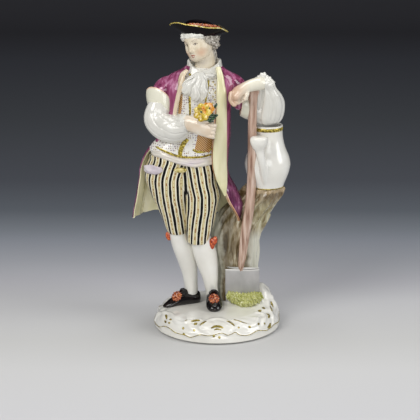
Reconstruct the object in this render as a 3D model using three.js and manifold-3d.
// A porcelain gardener who leans on his spade, beside a tree stump that carries a watering can.
// Everything was fired as one piece on a round rococo base, so it is one solid here too.
// Millimetres, +Z up. The figure faces -Y, and the origin is the centre of the base's underside.
import * as THREE from "three";
import { mergeVertices } from "three/addons/utils/BufferGeometryUtils.js";
import Module from "manifold-3d";

const wasm = await Module();
wasm.setup();

// Driving dimensions
const BASE_RADIUS = 40.8;
const FOOT_BAND = 4.5; // plain vertical band at the bottom of the base
const GROUND = 12.5; // top of the base, where the shoes stand
const SHELL = 1.7; // thickness of the coat's clay
const CAN_WALL = 1.5;
const CAN_AXIS = [32.4, 6]; // x and y of the watering can
const CAN_FLOOR = 95; // height of the can's floor inside
const STUMP_TOP = 91.5;
const HEAD = [-12, -1.4, 187.7]; // middle of the skull, level with the eyes
const HEAD_HALF = 11.4; // eyes to chin, and eyes to the top of the skull
const HEAD_TURN = -36; // degrees about Z, towards his right
const HEAD_LEAN = -15; // degrees, the crown towards his right
const HEAD_NOD = 4; // degrees forward
const HAT = [-11.8, -0.4, 191.7]; // middle of the hat's opening
const HAT_TILT = 7; // degrees, down towards his left
const MOUND_SCALLOPS = 8; // waves round the band of the base
const BAND_TOP = 39.2; // radius where the base's band starts to lean inwards
const BAND_RISE = 3.4; // how far that is above the plain foot
const GROUND_EDGE = 35; // radius where the ground ends
const GROUND_RINGS = [30, 17, 6]; // radii the ground is drawn on
const FEATHER = 11; // how far the hat's feather trim lies from the middle

const rad = THREE.MathUtils.degToRad;
const TURN = 2 * Math.PI;

// Values between the stations of a form, on a Catmull-Rom spline, with steps parts to each span.
function smooth(stations, steps) {
  const out = [];
  const last = stations.length - 1;
  const at = (i) => stations[Math.min(last, Math.max(0, i))];
  for (let i = 0; i < last; i++) {
    for (let k = 0; k < steps; k++) {
      const t = k / steps;
      out.push(at(i).map((b, n) => {
        const [a, c, d] = [at(i - 1)[n], at(i + 1)[n], at(i + 2)[n]];
        return b + 0.5 * t * (c - a + t * (2 * a - 5 * b + 4 * c - d + t * (3 * (b - c) + d - a)));
      }));
    }
  }
  out.push(stations[last]);
  return out;
}

// A solid from points and triangles, turned right side out.
function solid(points, faces) {
  const vertProperties = new Float32Array(points.flatMap((p) => [p.x, p.y, p.z]));
  let volume = 0;
  for (let i = 0; i < faces.length; i += 3) {
    const [a, b, c] = [points[faces[i]], points[faces[i + 1]], points[faces[i + 2]]];
    volume += a.dot(new THREE.Vector3().crossVectors(b, c));
  }
  const triVerts = new Uint32Array(volume < 0 ? [...faces].reverse() : faces);
  return new wasm.Manifold(new wasm.Mesh({ numProp: 3, vertProperties, triVerts }));
}

// A solid from one of three.js's own closed geometries.
function solidOf(geometry) {
  geometry.deleteAttribute("normal");
  geometry.deleteAttribute("uv");
  const merged = mergeVertices(geometry, 1e-4);
  const at = merged.attributes.position;
  const points = Array.from({ length: at.count }, (_, i) => new THREE.Vector3().fromBufferAttribute(at, i));
  return solid(points, Array.from(merged.index.array));
}

// Joins rings of points into a closed skin. Each end is closed by a fan round its middle, or,
// where folded is true, by a strip between the ring's first half and its second half.
function loft(rings, folded = false) {
  const sides = rings[0].length;
  const points = rings.flat();
  const faces = [];
  for (let k = 0; k + 1 < rings.length; k++) {
    for (let i = 0; i < sides; i++) {
      const j = (i + 1) % sides;
      const [low, high] = [k * sides, (k + 1) * sides];
      faces.push(low + i, low + j, high + i, low + j, high + j, high + i);
    }
  }
  for (const [first, facing] of [[0, false], [(rings.length - 1) * sides, true]]) {
    const face = (a, b, c) => faces.push(...(facing ? [a, b, c] : [c, b, a]));
    if (folded) {
      for (let i = 0; i + 1 < sides / 2; i++) {
        const [a, b, c, d] = [i, i + 1, sides - 2 - i, sides - 1 - i].map((n) => first + n);
        face(a, b, c);
        face(a, c, d);
      }
    } else {
      const middle = new THREE.Vector3();
      for (let i = 0; i < sides; i++) middle.addScaledVector(points[first + i], 1 / sides);
      points.push(middle);
      for (let i = 0; i < sides; i++) face(first + i, first + ((i + 1) % sides), points.length - 1);
    }
  }
  return solid(points, faces);
}

// A form built up of level rings. A station is [z, x, y, half-width, half-depth].
// ripple(angle, share) is added to the radius: angle 0 is the front, and share runs from 0 to 1 upwards.
function stack(stations, { sides = 16, steps = 2, ripple = () => 0 } = {}) {
  const all = smooth(stations, steps);
  return loft(all.map(([z, x, y, a, b], k) =>
    Array.from({ length: sides }, (_, i) => {
      const angle = (i / sides) * TURN;
      const more = ripple(angle, k / (all.length - 1));
      return new THREE.Vector3(x - (a + more) * Math.sin(angle), y - (b + more) * Math.cos(angle), z);
    })));
}

// A form swept along a path, with rings square to it. A station is [x, y, z, half-width, half-thickness],
// and the half-thickness lies nearest to the direction flat.
function sweep(stations, { sides = 10, steps = 2, flat = [0, -1, 0], ripple = () => 0 } = {}) {
  const all = smooth(stations, steps);
  const middles = all.map((s) => new THREE.Vector3(s[0], s[1], s[2]));
  const reference = new THREE.Vector3(...flat);
  return loft(all.map((s, k) => {
    const ahead = middles[Math.min(k + 1, all.length - 1)];
    const behind = middles[Math.max(k - 1, 0)];
    const along = new THREE.Vector3().subVectors(ahead, behind).normalize();
    const side = new THREE.Vector3().crossVectors(along, reference).normalize();
    const thick = new THREE.Vector3().crossVectors(side, along);
    return Array.from({ length: sides }, (_, i) => {
      const angle = (i / sides) * TURN;
      const more = ripple(angle, k / (all.length - 1));
      return middles[k].clone()
        .addScaledVector(side, (s[3] + more) * Math.cos(angle))
        .addScaledVector(thick, (s[4] + more) * Math.sin(angle));
    });
  }));
}

// An ellipsoid, turned about Y by an angle in degrees.
function egg([x, y, z], [a, b, c], detail = 8, turn = 0) {
  const ball = new THREE.SphereGeometry(1, detail, Math.round(detail / 2));
  const place = new THREE.Matrix4().compose(
    new THREE.Vector3(x, y, z),
    new THREE.Quaternion().setFromEuler(new THREE.Euler(0, rad(turn), 0)),
    new THREE.Vector3(a, b, c),
  );
  return solidOf(ball.applyMatrix4(place));
}

// A small flower or bow, as a round knob that faces along a direction.
function rosette(middle, radius, facing) {
  const knob = stack([
    [-0.5 * radius, 0, 0, 0.5 * radius, 0.5 * radius],
    [-0.1 * radius, 0, 0, radius, radius],
    [0.35 * radius, 0, 0, 0.7 * radius, 0.7 * radius],
    [0.5 * radius, 0, 0, 0.2 * radius, 0.2 * radius],
  ], { sides: 8, steps: 1 });
  const outward = new THREE.Vector3(...facing).normalize();
  const place = new THREE.Matrix4().compose(
    new THREE.Vector3(...middle),
    new THREE.Quaternion().setFromUnitVectors(new THREE.Vector3(0, 0, 1), outward),
    new THREE.Vector3(1, 1, 1),
  );
  return knob.transform(place.toArray());
}

// The height of the ground: level under the shoes, a rocky rise behind, and a low one at the spade.
function ground(x, y) {
  const rock = 10 * Math.exp(-(((x - 31) / 8) ** 2 + ((y - 14) / 12) ** 2));
  const bank = 4.5 * Math.exp(-(((x - 17) / 13) ** 2 + ((y - 6) / 8) ** 2));
  return GROUND + rock + bank;
}

// The mound of the base: a plain foot, then a scalloped band that rises to the level ground.
function mound() {
  const sides = 32;
  const circle = (radius, height) => Array.from({ length: sides }, (_, i) => {
    const angle = (i / sides) * TURN;
    const waved = radius >= GROUND_EDGE && radius < BASE_RADIUS;
    const wave = waved ? 0.7 * Math.cos(MOUND_SCALLOPS * angle) : 0;
    const [x, y] = [(radius + wave) * Math.sin(angle), -(radius + wave) * Math.cos(angle)];
    return new THREE.Vector3(x, y, height(x, y));
  });
  return loft([
    circle(BASE_RADIUS, () => 0),
    circle(BASE_RADIUS, () => FOOT_BAND),
    circle(BAND_TOP, () => FOOT_BAND + BAND_RISE),
    circle(GROUND_EDGE, (x, y) => ground(x, y) - 1.6),
    ...GROUND_RINGS.map((radius) => circle(radius, ground)),
  ]);
}

// The tree stump, with a flared top that the can stands on and a broken branch on its right.
function stump() {
  const trunk = stack([
    [9, 12, 13, 16, 12.2],
    [26, 12, 12.5, 14.2, 10.8],
    [36, 12.4, 12, 14, 10.4],
    [46, 12, 11.7, 14.8, 10.4],
    [56, 12.2, 11.5, 15.6, 10.8],
    [66, 14.2, 11.2, 16, 11],
    [75, 18.8, 10, 16.2, 11.2],
    [82, 24.8, 8.4, 15.2, 11.2],
    [88, 29.4, 7.4, 13.6, 11.4],
    [STUMP_TOP, 30.2, 7, 13, 11],
  ], { sides: 15, steps: 1, ripple: (angle, share) => 0.7 * Math.sin(5 * angle + 6 * share) });
  const branch = sweep([
    [25, 11, 61, 4.6, 4.6],
    [29.6, 11, 67.5, 3.8, 3.8],
    [32.2, 10.6, 72, 3, 3],
  ], { sides: 8, steps: 1 });
  return [trunk, branch];
}

// The watering can: an open jug with a spout that ends in a sprinkling rose, and a strap handle behind.
function wateringCan() {
  const [x, y] = CAN_AXIS;
  const foot = [[0, STUMP_TOP - 2], [9.9, STUMP_TOP - 2], [10.4, STUMP_TOP + 0.9]];
  const wall = [[12.2, 97.4], [14.7, 105.6], [13.8, 111.6], [10.7, 119.8], [9.5, 127.4], [9.7, 132]];
  const inside = wall.map(([r, z]) => [r - CAN_WALL, z]).reverse();
  const profile = [...foot, ...wall, ...inside, [0, CAN_FLOOR]].map(([r, z]) => new THREE.Vector2(r, z));
  const jug = new THREE.LatheGeometry(profile, 12);
  jug.rotateX(Math.PI / 2);
  jug.translate(x, y, 0);
  const spout = sweep([
    [30.4, -4, 97, 2.4, 2.6],
    [29.3, -8.4, 105, 2.5, 2.9],
    [27.4, -12.6, 116, 2.6, 2.8],
    [26.6, -13.3, 120, 3, 2.9],
    [26.2, -13.8, 122.6, 4.5, 3.9],
    [26.2, -14, 125, 5.6, 4.8],
    [26.2, -14, 127.6, 5.5, 4.7],
    [26.2, -14, 128.9, 3.4, 2.8],
  ], { sides: 8, steps: 1 });
  const handle = sweep([
    [x + 2, y + 7.6, 126.4, 2, 1.3],
    [x + 3.8, y + 14, 128, 2, 1.2],
    [x + 5.2, y + 18.8, 123, 2, 1.2],
    [x + 5, y + 19, 114, 2, 1.2],
    [x + 3.8, y + 15.6, 107, 2, 1.2],
    [x + 2.6, y + 11.6, 104.6, 2.2, 1.3],
  ], { sides: 6, steps: 1, flat: [1, 0, 0] });
  return [solidOf(jug), spout, handle];
}

// The spade: a slightly bent shaft, its socket and a flat blade in the turf.
function spade() {
  const shaft = sweep([
    [23.2, -3.6, 158.5, 2.4, 2.4],
    [23, -3.6, 155.6, 3.6, 3.2],
    [22.3, -3.6, 130, 2.8, 2.7],
    [22, -3.4, 97, 3, 2.8],
    [20.7, -3.2, 81, 3.1, 2.8],
    [18.9, -3, 68, 3.1, 2.8],
    [16.6, -2.5, 49, 2.5, 2.3],
    [15.6, -2, 36.4, 1.4, 1.2],
  ], { sides: 8, steps: 1 });
  const blade = sweep([
    [16.5, -1.7, 37.6, 11, 0.9],
    [16.6, -1.2, 33.4, 11.1, 1.3],
    [16.7, 0.2, 22, 11.1, 1.3],
    [16.7, 1.2, 11, 10.6, 1],
  ], { sides: 8, steps: 1 });
  const turf = sweep([
    [6.6, -1, 18, 1.6, 2.8],
    [11, -2, 17, 3.4, 4.4],
    [15, -2.6, 16.2, 4.2, 5.2],
    [19, -3, 15.6, 4.6, 5.8],
    [23, -2, 16.2, 4, 5.2],
    [29.4, 0, 17.6, 1.6, 3.6],
  ], { sides: 8, steps: 1, flat: [0, 0, 1] });
  return [shaft, blade, turf];
}

// The legs: stockings with full calves, and buckled shoes with rosettes on the instep.
function legs() {
  const rightLeg = stack([
    [16, -16.6, 8.6, 4, 4.6],
    [26, -17, 7.4, 4.5, 4.9],
    [33, -17.8, 6.8, 5.1, 5.6],
    [42, -19.6, 5.6, 6.3, 7.2],
    [52, -22.6, 4.4, 6.7, 7.4],
    [62, -25.8, 2.6, 5.4, 6],
    [70, -27, 1.5, 5, 6],
  ], { sides: 10, steps: 1 });
  const leftLeg = stack([
    [15, -2.6, 2.6, 4.2, 5.2],
    [24, -3.6, 1, 4.4, 5],
    [31, -4.4, 0.6, 5.1, 5.8],
    [40, -6.2, 1, 6.8, 7.4],
    [50, -8, 1.2, 7.9, 8],
    [60, -10.4, -0.8, 6.2, 6.8],
    [68, -11, -0.8, 5.6, 6.4],
  ], { sides: 10, steps: 1 });
  const rightShoe = sweep([
    [-34.6, 0.6, GROUND + 0.8, 1.4, 1],
    [-31.4, 2.2, GROUND + 1.8, 3.8, 2.4],
    [-27.6, 4, GROUND + 2.8, 4.6, 3.6],
    [-21.5, 7, GROUND + 3.8, 5, 4.8],
    [-16, 9.2, GROUND + 4, 5.4, 5],
    [-13.2, 10.4, GROUND + 4, 4.6, 4.8],
    [-11.6, 11.2, GROUND + 3.8, 2.6, 3.8],
  ], { sides: 8, steps: 1, flat: [0, 0, 1] });
  const leftShoe = sweep([
    [-1.6, -13, GROUND + 1.6, 2.6, 1.8],
    [-1.6, -11, GROUND + 2.8, 4.6, 3.4],
    [-1.8, -6, GROUND + 3.8, 5, 4.8],
    [-2.2, -1, GROUND + 4.6, 4.7, 5.8],
    [-2.6, 4, GROUND + 4.8, 4.4, 6],
    [-2.8, 7.6, GROUND + 4.6, 3.4, 5],
  ], { sides: 8, steps: 1, flat: [0, 0, 1] });
  return [
    rightLeg, leftLeg, rightShoe, leftShoe,
    rosette([-25.8, 2, GROUND + 7.2], 3.8, [-0.4, -0.8, 0.7]),
    rosette([-1.9, -8.8, GROUND + 7.4], 4, [0, -1, 0.8]),
  ];
}

// Knee breeches of striped cloth, full at the hip and gathered at the knee, with a bow on each garter.
function breeches() {
  const pleats = (angle, share) => 0.5 * Math.sin(7 * angle) * Math.sin(Math.PI * Math.min(1, share + 0.2));
  const rightLeg = stack([
    [62, -26.2, 2.2, 5.6, 6.2],
    [64, -26.4, 2.1, 6.6, 7.2],
    [74, -27.2, 1.4, 8, 8.8],
    [84, -29, 0.8, 11, 10.6],
    [95, -29.6, 0.4, 14.6, 12],
    [106, -28, 0.4, 16.4, 12.6],
  ], { sides: 14, steps: 1, ripple: pleats });
  const leftLeg = stack([
    [57, -11, -1.2, 6, 6.8],
    [59.4, -11, -1.2, 6.8, 7.6],
    [70, -10.8, -1, 8.4, 9.2],
    [82, -9.8, -0.6, 10.4, 10.8],
    [94, -10, -0.2, 11.6, 12],
    [106, -12.5, 0, 13.5, 12.6],
  ], { sides: 14, steps: 1, ripple: pleats });
  const seat = stack([
    [86, -20, 1, 14, 9],
    [95, -20.4, 1, 20, 12],
    [106, -20.6, 1, 22, 13],
    [112, -20.8, 0.6, 22.4, 13],
  ], { sides: 14, steps: 1 });
  return [
    rightLeg, leftLeg, seat,
    rosette([-31, 0.4, 60.4], 3.2, [-1, -0.5, 0]),
    rosette([-2.6, -3.6, 56.4], 4, [0.9, -0.7, 0]),
  ];
}

// The trunk of the body in its waistcoat, with a rolled white sash over the hips.
function torso() {
  const waistcoat = stack([
    [106, -21, 0.6, 22.6, 13.2],
    [113, -20.8, 0.4, 22.8, 13.6],
    [119, -19.4, 0.2, 21.6, 13.2],
    [127, -17, 0, 20, 12.6],
    [137, -14.6, 0.2, 19.6, 12.4],
    [148, -13, 0.6, 20.6, 12.6],
    [156, -12, 1, 23.4, 12],
    [163, -11, 1.4, 22.2, 10.8],
    [167.5, -9.6, 1.6, 15, 8.6],
    [170.5, -8.6, 1.6, 8.4, 7],
  ], { sides: 12, steps: 1 });
  const sash = stack([
    [108, -21, -1, 23.2, 12.8],
    [110.4, -21, -1.2, 24.2, 13.8],
    [115.4, -20.6, -1.4, 23.8, 13.6],
    [117.6, -20.2, -1.2, 22.6, 12.8],
  ], { sides: 16, steps: 1 });
  const lean = new THREE.Matrix4().makeRotationY(rad(7));
  const tilted = sash.transform(new THREE.Matrix4()
    .makeTranslation(-21, 0, 113)
    .multiply(lean)
    .multiply(new THREE.Matrix4().makeTranslation(21, 0, -113))
    .toArray());
  const pocket = sweep([
    [-45.4, -2.6, 107, 2, 1.4],
    [-42, -6, 106, 3.4, 2],
    [-38, -9, 105.4, 3.4, 2],
    [-35, -10.6, 106, 1.8, 1.4],
  ], { sides: 8, steps: 1 });
  return [waistcoat, tilted, pocket];
}

// The coat: a shell that is open in front, narrow at the waist and flared over the hips.
// A station is [z, x, y, left half-width, right half-width, half-depth, first angle, last angle].
function coat() {
  const stations = [
    [71.4, -19.8, 2, 35.4, 34.8, 19.4, 98, 284],
    [80, -19.6, 1.8, 34, 36.2, 18.4, 97, 303],
    [91.7, -18.6, 1.3, 32.6, 31.8, 17, 98, 312],
    [106, -16.7, 0.8, 31, 24.4, 15.4, 90, 323],
    [118, -15.2, 0.6, 27.8, 23, 14.7, 78, 327],
    [128, -14, 0.6, 23.6, 22.4, 14.2, 60, 327],
    [144, -12.6, 0.8, 22, 21.6, 14, 39, 327],
    [157, -11.4, 1.2, 24.6, 24, 13.2, 33, 327],
    [164.5, -10.4, 1.8, 21, 20.4, 11.2, 37, 325],
    [169.5, -8.8, 2, 13, 13, 9, 44, 322],
  ];
  const spans = 13;
  const folds = (angle, z) => {
    const behind = Math.max(0, -Math.cos(angle));
    return behind * Math.max(0, (112 - z) / 40) * 1.6 * Math.sin(6.5 * angle);
  };
  const rings = smooth(stations, 1).map(([z, x, y, left, right, deep, first, last]) => {
    const at = (k, inset) => {
      const angle = rad(first + ((last - first) * k) / spans);
      const wide = (Math.sin(angle) > 0 ? left : right) - inset + folds(angle, z);
      const depth = deep - inset + folds(angle, z);
      return new THREE.Vector3(x - wide * Math.sin(angle), y - depth * Math.cos(angle), z);
    };
    const outer = Array.from({ length: spans + 1 }, (_, k) => at(k, 0));
    const inner = Array.from({ length: spans + 1 }, (_, k) => at(spans - k, SHELL));
    return [...outer, ...inner];
  });
  const facing = sweep([
    [1.9, -8.6, 165.6, 2.2, 1.3],
    [2.9, -10.9, 155, 3.5, 1.5],
    [3, -10.9, 146, 3.6, 1.5],
    [2.6, -11.2, 134, 4.1, 1.5],
    [1.8, -11.2, 121, 5, 1.5],
    [1.7, -11, 111, 5.1, 1.5],
    [2.6, -10.6, 103, 4.3, 1.5],
    [4.6, -11, 92.6, 1.6, 1.3],
  ], { sides: 6, steps: 1, flat: [0.5, -0.87, 0] });
  const lapel = sweep([
    [-21, -8.4, 167, 1.9, 1.1],
    [-22.8, -10.4, 160, 1.8, 1.2],
    [-25, -11, 150, 1.4, 1.1],
    [-27.2, -10.4, 136, 1.2, 1],
  ], { sides: 6, steps: 1, flat: [-0.5, -0.87, 0] });
  return [loft(rings, true), facing, lapel];
}

// His right arm: coat sleeve, flared cuff, full shirt sleeve, and a hand that holds the bouquet.
function rightArm() {
  const coatSleeve = sweep([
    [-27, 2, 159.6, 6.4, 7.4],
    [-32.4, 2, 156, 7, 7.6],
    [-36.6, 0.5, 150.6, 7, 7.2],
    [-38.5, -1, 146, 6.6, 6.8],
  ], { sides: 10, steps: 1 });
  const cuff = sweep([
    [-35.6, 0.6, 153, 7.2, 7.4],
    [-36.4, -1.6, 151, 8.8, 9],
    [-37.4, -4.6, 148.6, 9, 8.2],
    [-38, -6, 147.4, 7.4, 6.6],
  ], { sides: 10, steps: 1 });
  const shirtSleeve = sweep([
    [-36.4, -1, 149, 6.4, 6.4],
    [-38.8, -3, 143, 7.8, 8],
    [-38.4, -4.8, 136.2, 8.6, 8.4],
    [-33.6, -8.4, 133, 9, 8.2],
    [-27, -13, 134, 8.2, 7.4],
    [-20.4, -17.6, 136.6, 5.6, 5.4],
    [-17.4, -19.8, 137.2, 4.6, 4.4],
  ], { sides: 10, steps: 1, flat: [0.3, -1, 0.3] });
  const hand = sweep([
    [-18.4, -19, 137, 3.6, 3.2],
    [-14.6, -21.4, 136.6, 3.6, 2.8],
    [-10.6, -23.2, 136.2, 4.6, 2.6],
    [-6.6, -24.4, 135.4, 4.8, 2.6],
    [-3.4, -24.6, 134.6, 3.8, 2.4],
  ], { sides: 8, steps: 1 });
  const fingers = Array.from({ length: 4 }, (_, n) => {
    const z = 138.4 - 2.3 * n;
    return sweep([
      [-5.4, -24.6, z, 1.4, 1.4],
      [-2.2 - 0.3 * n, -25, z - 0.6, 1.35, 1.35],
      [-1 - 0.4 * n, -22.8, z - 1, 1.25, 1.25],
      [-2.8 - 0.4 * n, -21.2, z - 1, 1, 1],
    ], { sides: 5, steps: 1, flat: [0, 0, 1] });
  });
  const thumb = sweep([
    [-12.4, -22.6, 139, 1.7, 1.7],
    [-9.4, -25, 141.2, 1.6, 1.5],
    [-6.6, -26.4, 141.6, 1.2, 1.2],
  ], { sides: 6, steps: 1, flat: [0, 0, 1] });
  return [coatSleeve, cuff, shirtSleeve, hand, thumb, ...fingers];
}

// The bouquet: a yellow and an orange bloom on dark leaves.
function bouquet() {
  const leaves = [-35, 5, 40].map((turn, n) =>
    egg([-3.6 + n * 0.8, -24.4 - n, 141.4 + n], [5.4, 1.2, 2], 6, turn - 10));
  return [
    rosette([-9.8, -26.6, 145.6], 4.8, [-0.3, -1, 0.4]),
    rosette([-4.6, -25.8, 148.2], 4.6, [0.2, -1, 0.5]),
    egg([-6.4, -24.6, 144.4], [5, 3.2, 4.6]),
    ...leaves,
  ];
}

// His left arm: coat sleeve and cuff down to the elbow, which rests on the can, and the forearm
// that comes back over the top of the spade and lets the hand hang.
function leftArm() {
  const coatSleeve = sweep([
    [2, 2, 160.6, 6, 7.2],
    [5.4, 2.2, 159.6, 6.8, 7.6],
    [9.4, 2.2, 156.4, 7.4, 7.6],
    [12.4, 2, 151.4, 7, 7],
    [15.6, 1.8, 147, 6, 6],
  ], { sides: 10, steps: 1 });
  const cuff = sweep([
    [13.6, 2, 147, 5.6, 5.6],
    [15.6, 2, 146.4, 7, 7],
    [18.6, 2, 145, 7.6, 7.6],
    [22, 2.2, 143.6, 6.8, 6.8],
  ], { sides: 12, steps: 1 });
  const upperSleeve = sweep([
    [19.6, 2, 143.6, 5.6, 6],
    [25, 3.2, 141.6, 7, 7],
    [30, 3.8, 141.2, 7.4, 7.2],
  ], { sides: 10, steps: 1 });
  const lowerSleeve = stack([
    [133, 31.6, 4, 5.6, 5],
    [135.4, 31.6, 3.8, 9.2, 8],
    [139, 31.9, 3.3, 10.5, 9],
    [144, 32.3, 2.6, 10.8, 9.1],
    [149, 32.4, 1.3, 10.2, 8.6],
    [154, 31.8, -0.6, 8.6, 7.2],
    [158.4, 30.8, -2.2, 6.2, 5.2],
    [161.6, 29.8, -3.2, 4.2, 3.8],
  ], { sides: 12, steps: 1 });
  const frill = sweep([
    [32.4, -1.6, 157.2, 5, 4.8],
    [31, -2.8, 159.4, 6, 5.4],
    [29, -3.8, 161.4, 5.6, 5],
  ], { sides: 12, steps: 1 });
  const forearm = sweep([
    [31, -2.8, 159.8, 4.4, 4.2],
    [26.6, -4.8, 160.6, 4.4, 4.2],
    [21.8, -6.6, 160, 4.2, 3.9],
    [17.4, -8.2, 158.6, 4.4, 3.5],
    [13.4, -9.6, 156.6, 5, 3.2],
    [10.8, -10.6, 154, 4.7, 3],
  ], { sides: 8, steps: 1, flat: [-0.5, -0.3, 1] });
  const fingers = Array.from({ length: 4 }, (_, n) => {
    const [x, y] = [9 + 2.4 * n, -12.4 + 1.3 * n];
    return sweep([
      [x, y + 0.6, 155.8 - 0.2 * n, 1.7, 1.7],
      [x - 0.6, y, 152.8, 1.5, 1.5],
      [x, y, 150.2 + 0.3 * n, 1.4, 1.4],
      [x + 1.4, y + 0.4, 148.2 + 0.9 * n, 1.1, 1.1],
    ], { sides: 5, steps: 1 });
  });
  return [coatSleeve, cuff, upperSleeve, lowerSleeve, frill, forearm, ...fingers];
}

// The neck, the open shirt collar and the ruffled white neckcloth that hangs from it.
function neckwear() {
  const neck = stack([
    [164, -9, 1.6, 7.4, 7],
    [170, -7.8, 1.4, 6.5, 6.4],
    [176, -8, 0.8, 6.2, 6.2],
    [182, -9, 0.4, 6.4, 6.6],
  ], { sides: 8, steps: 1 });
  const collar = stack([
    [165, -9, 1.6, 11.6, 9.4],
    [169, -8.4, 1.6, 10.8, 9],
    [172.6, -7.8, 2.6, 9.8, 7.6],
    [173, -7.8, 2.6, 8, 6.6],
    [169, -8, 2, 7, 6.4],
  ], { sides: 12, steps: 1 });
  const jabot = sweep([
    [-10.4, -7.4, 170, 3.6, 2],
    [-11.4, -10.4, 166, 5.6, 2.4],
    [-12.4, -12.2, 160, 7.4, 2.6],
    [-11.6, -13.2, 154, 6.4, 2.6],
    [-10, -13.8, 149, 4, 2],
  ], { sides: 8, steps: 1 });
  return [neck, collar, jabot];
}

// The head with its side curls and queue. Made upright about the eye line, then turned and nodded as one.
function head() {
  const skull = stack([
    [-HEAD_HALF, 0, -4.8, 3, 2.6],
    [-9.6, 0, -2.8, 6.4, 6.6],
    [-5.6, 0, -1, 7.6, 8.6],
    [0, 0, 0, 8.2, 9.6],
    [5, 0, 0.6, 8.4, 10],
    [0.9 * HEAD_HALF, 0, 0.6, 4, 5],
  ], { sides: 10, steps: 1 });
  const nose = sweep([
    [0, -8, 0.4, 0.9, 0.8],
    [0, -9.8, -3.2, 1.3, 1.5],
    [0, -8.2, -5, 1.5, 1],
  ], { sides: 6, steps: 1 });
  const curls = [-1, 1].flatMap((side) => [
    egg([side * 8.6, 3, 0.6], [3.4, 5.4, 3.6], 6),
    egg([side * 8, 4.4, -4.4], [3.2, 5, 3.4], 6),
  ]);
  const forelock = egg([0, -4.6, 5], [7.4, 5, 3], 6);
  const nape = egg([0, 6, -2], [7.6, 5.4, 7.4], 6);
  const queue = sweep([
    [0, 9.2, -3, 3.6, 2.8],
    [0, 9, -9, 2.6, 2.4],
    [0, 8.2, -17, 2.6, 2.2],
    [0, 7.2, -24, 1.2, 1.2],
  ], { sides: 6, steps: 1 });
  const bow = egg([0, 9.6, -8.4], [4.6, 2, 2], 6);
  const bare = [skull, nose, ...curls, forelock, nape, queue, bow].reduce((all, piece) => all.add(piece));
  const tilt = new THREE.Euler(rad(HEAD_NOD), rad(HEAD_LEAN), rad(HEAD_TURN), "YZX");
  const pose = new THREE.Matrix4().compose(
    new THREE.Vector3(...HEAD),
    new THREE.Quaternion().setFromEuler(tilt),
    new THREE.Vector3(1, 1, 1),
  );
  return bare.transform(pose.toArray());
}

// The cocked hat: a low crown, and a brim turned up between its left, right and back corners.
function hat() {
  const crown = stack([
    [-1, 0, 0, 9.4, 9.6],
    [4, 0, 0, 9.4, 9.6],
    [7, 0, 0, 7.6, 7.8],
    [8.2, 0, 0, 3.6, 3.8],
  ], { sides: 12, steps: 1 });
  const sides = 20;
  const brim = (share, lift) => Array.from({ length: sides }, (_, i) => {
    const angle = (i / sides) * TURN;
    const corner = Math.sin(angle) ** 4 + 0.7 * Math.max(0, -Math.cos(angle)) ** 6;
    const radius = 9.4 + share * (3.2 + 5.4 * corner);
    const height = share ** 1.2 * (6 - 3.4 * corner) + lift;
    return new THREE.Vector3(-radius * Math.sin(angle), -radius * Math.cos(angle), height);
  });
  const cup = loft([
    ...[0, 0.5, 1].map((share) => brim(share, 0)),
    ...[0.96, 0].map((share) => brim(share, 1.2)),
  ]);
  const feather = sweep([
    [-8, 2 - FEATHER, 5.6, 0.8, 0.8],
    [-3, -FEATHER, 6, 1.4, 1.4],
    [3, -FEATHER, 6.2, 1.4, 1.5],
    [10, 2.4 - FEATHER, 5.8, 0.8, 0.8],
  ], { sides: 6, steps: 1 });
  const made = crown.add(cup).add(feather);
  const pose = new THREE.Matrix4().compose(
    new THREE.Vector3(...HAT),
    new THREE.Quaternion().setFromEuler(new THREE.Euler(0, rad(HAT_TILT), 0)),
    new THREE.Vector3(1, 1, 1),
  );
  return made.transform(pose.toArray());
}

const pieces = [
  mound(), ...stump(), ...wateringCan(), ...spade(), ...legs(), ...breeches(), ...torso(),
  ...coat(), ...rightArm(), ...bouquet(), ...leftArm(), ...neckwear(), head(), hat(),
];
const joined = pieces.reduce((all, piece) => all.add(piece));

// Slip fills the small pockets that are shut in between the parts.
const fired = joined.decompose().reduce((a, b) => (a.volume() > b.volume() ? a : b));

const skin = fired.getMesh();
const geometry = new THREE.BufferGeometry()
  .setAttribute("position", new THREE.BufferAttribute(new Float32Array(skin.vertProperties), 3))
  .setIndex(new THREE.BufferAttribute(skin.triVerts, 1));
geometry.computeVertexNormals();

const porcelain = new THREE.MeshStandardMaterial({ color: 0xece9df, roughness: 0.12, metalness: 0 });
const figure = new THREE.Mesh(geometry, porcelain);
figure.name = "gardener_figure";

const group = new THREE.Group();
group.add(figure);
export default group;
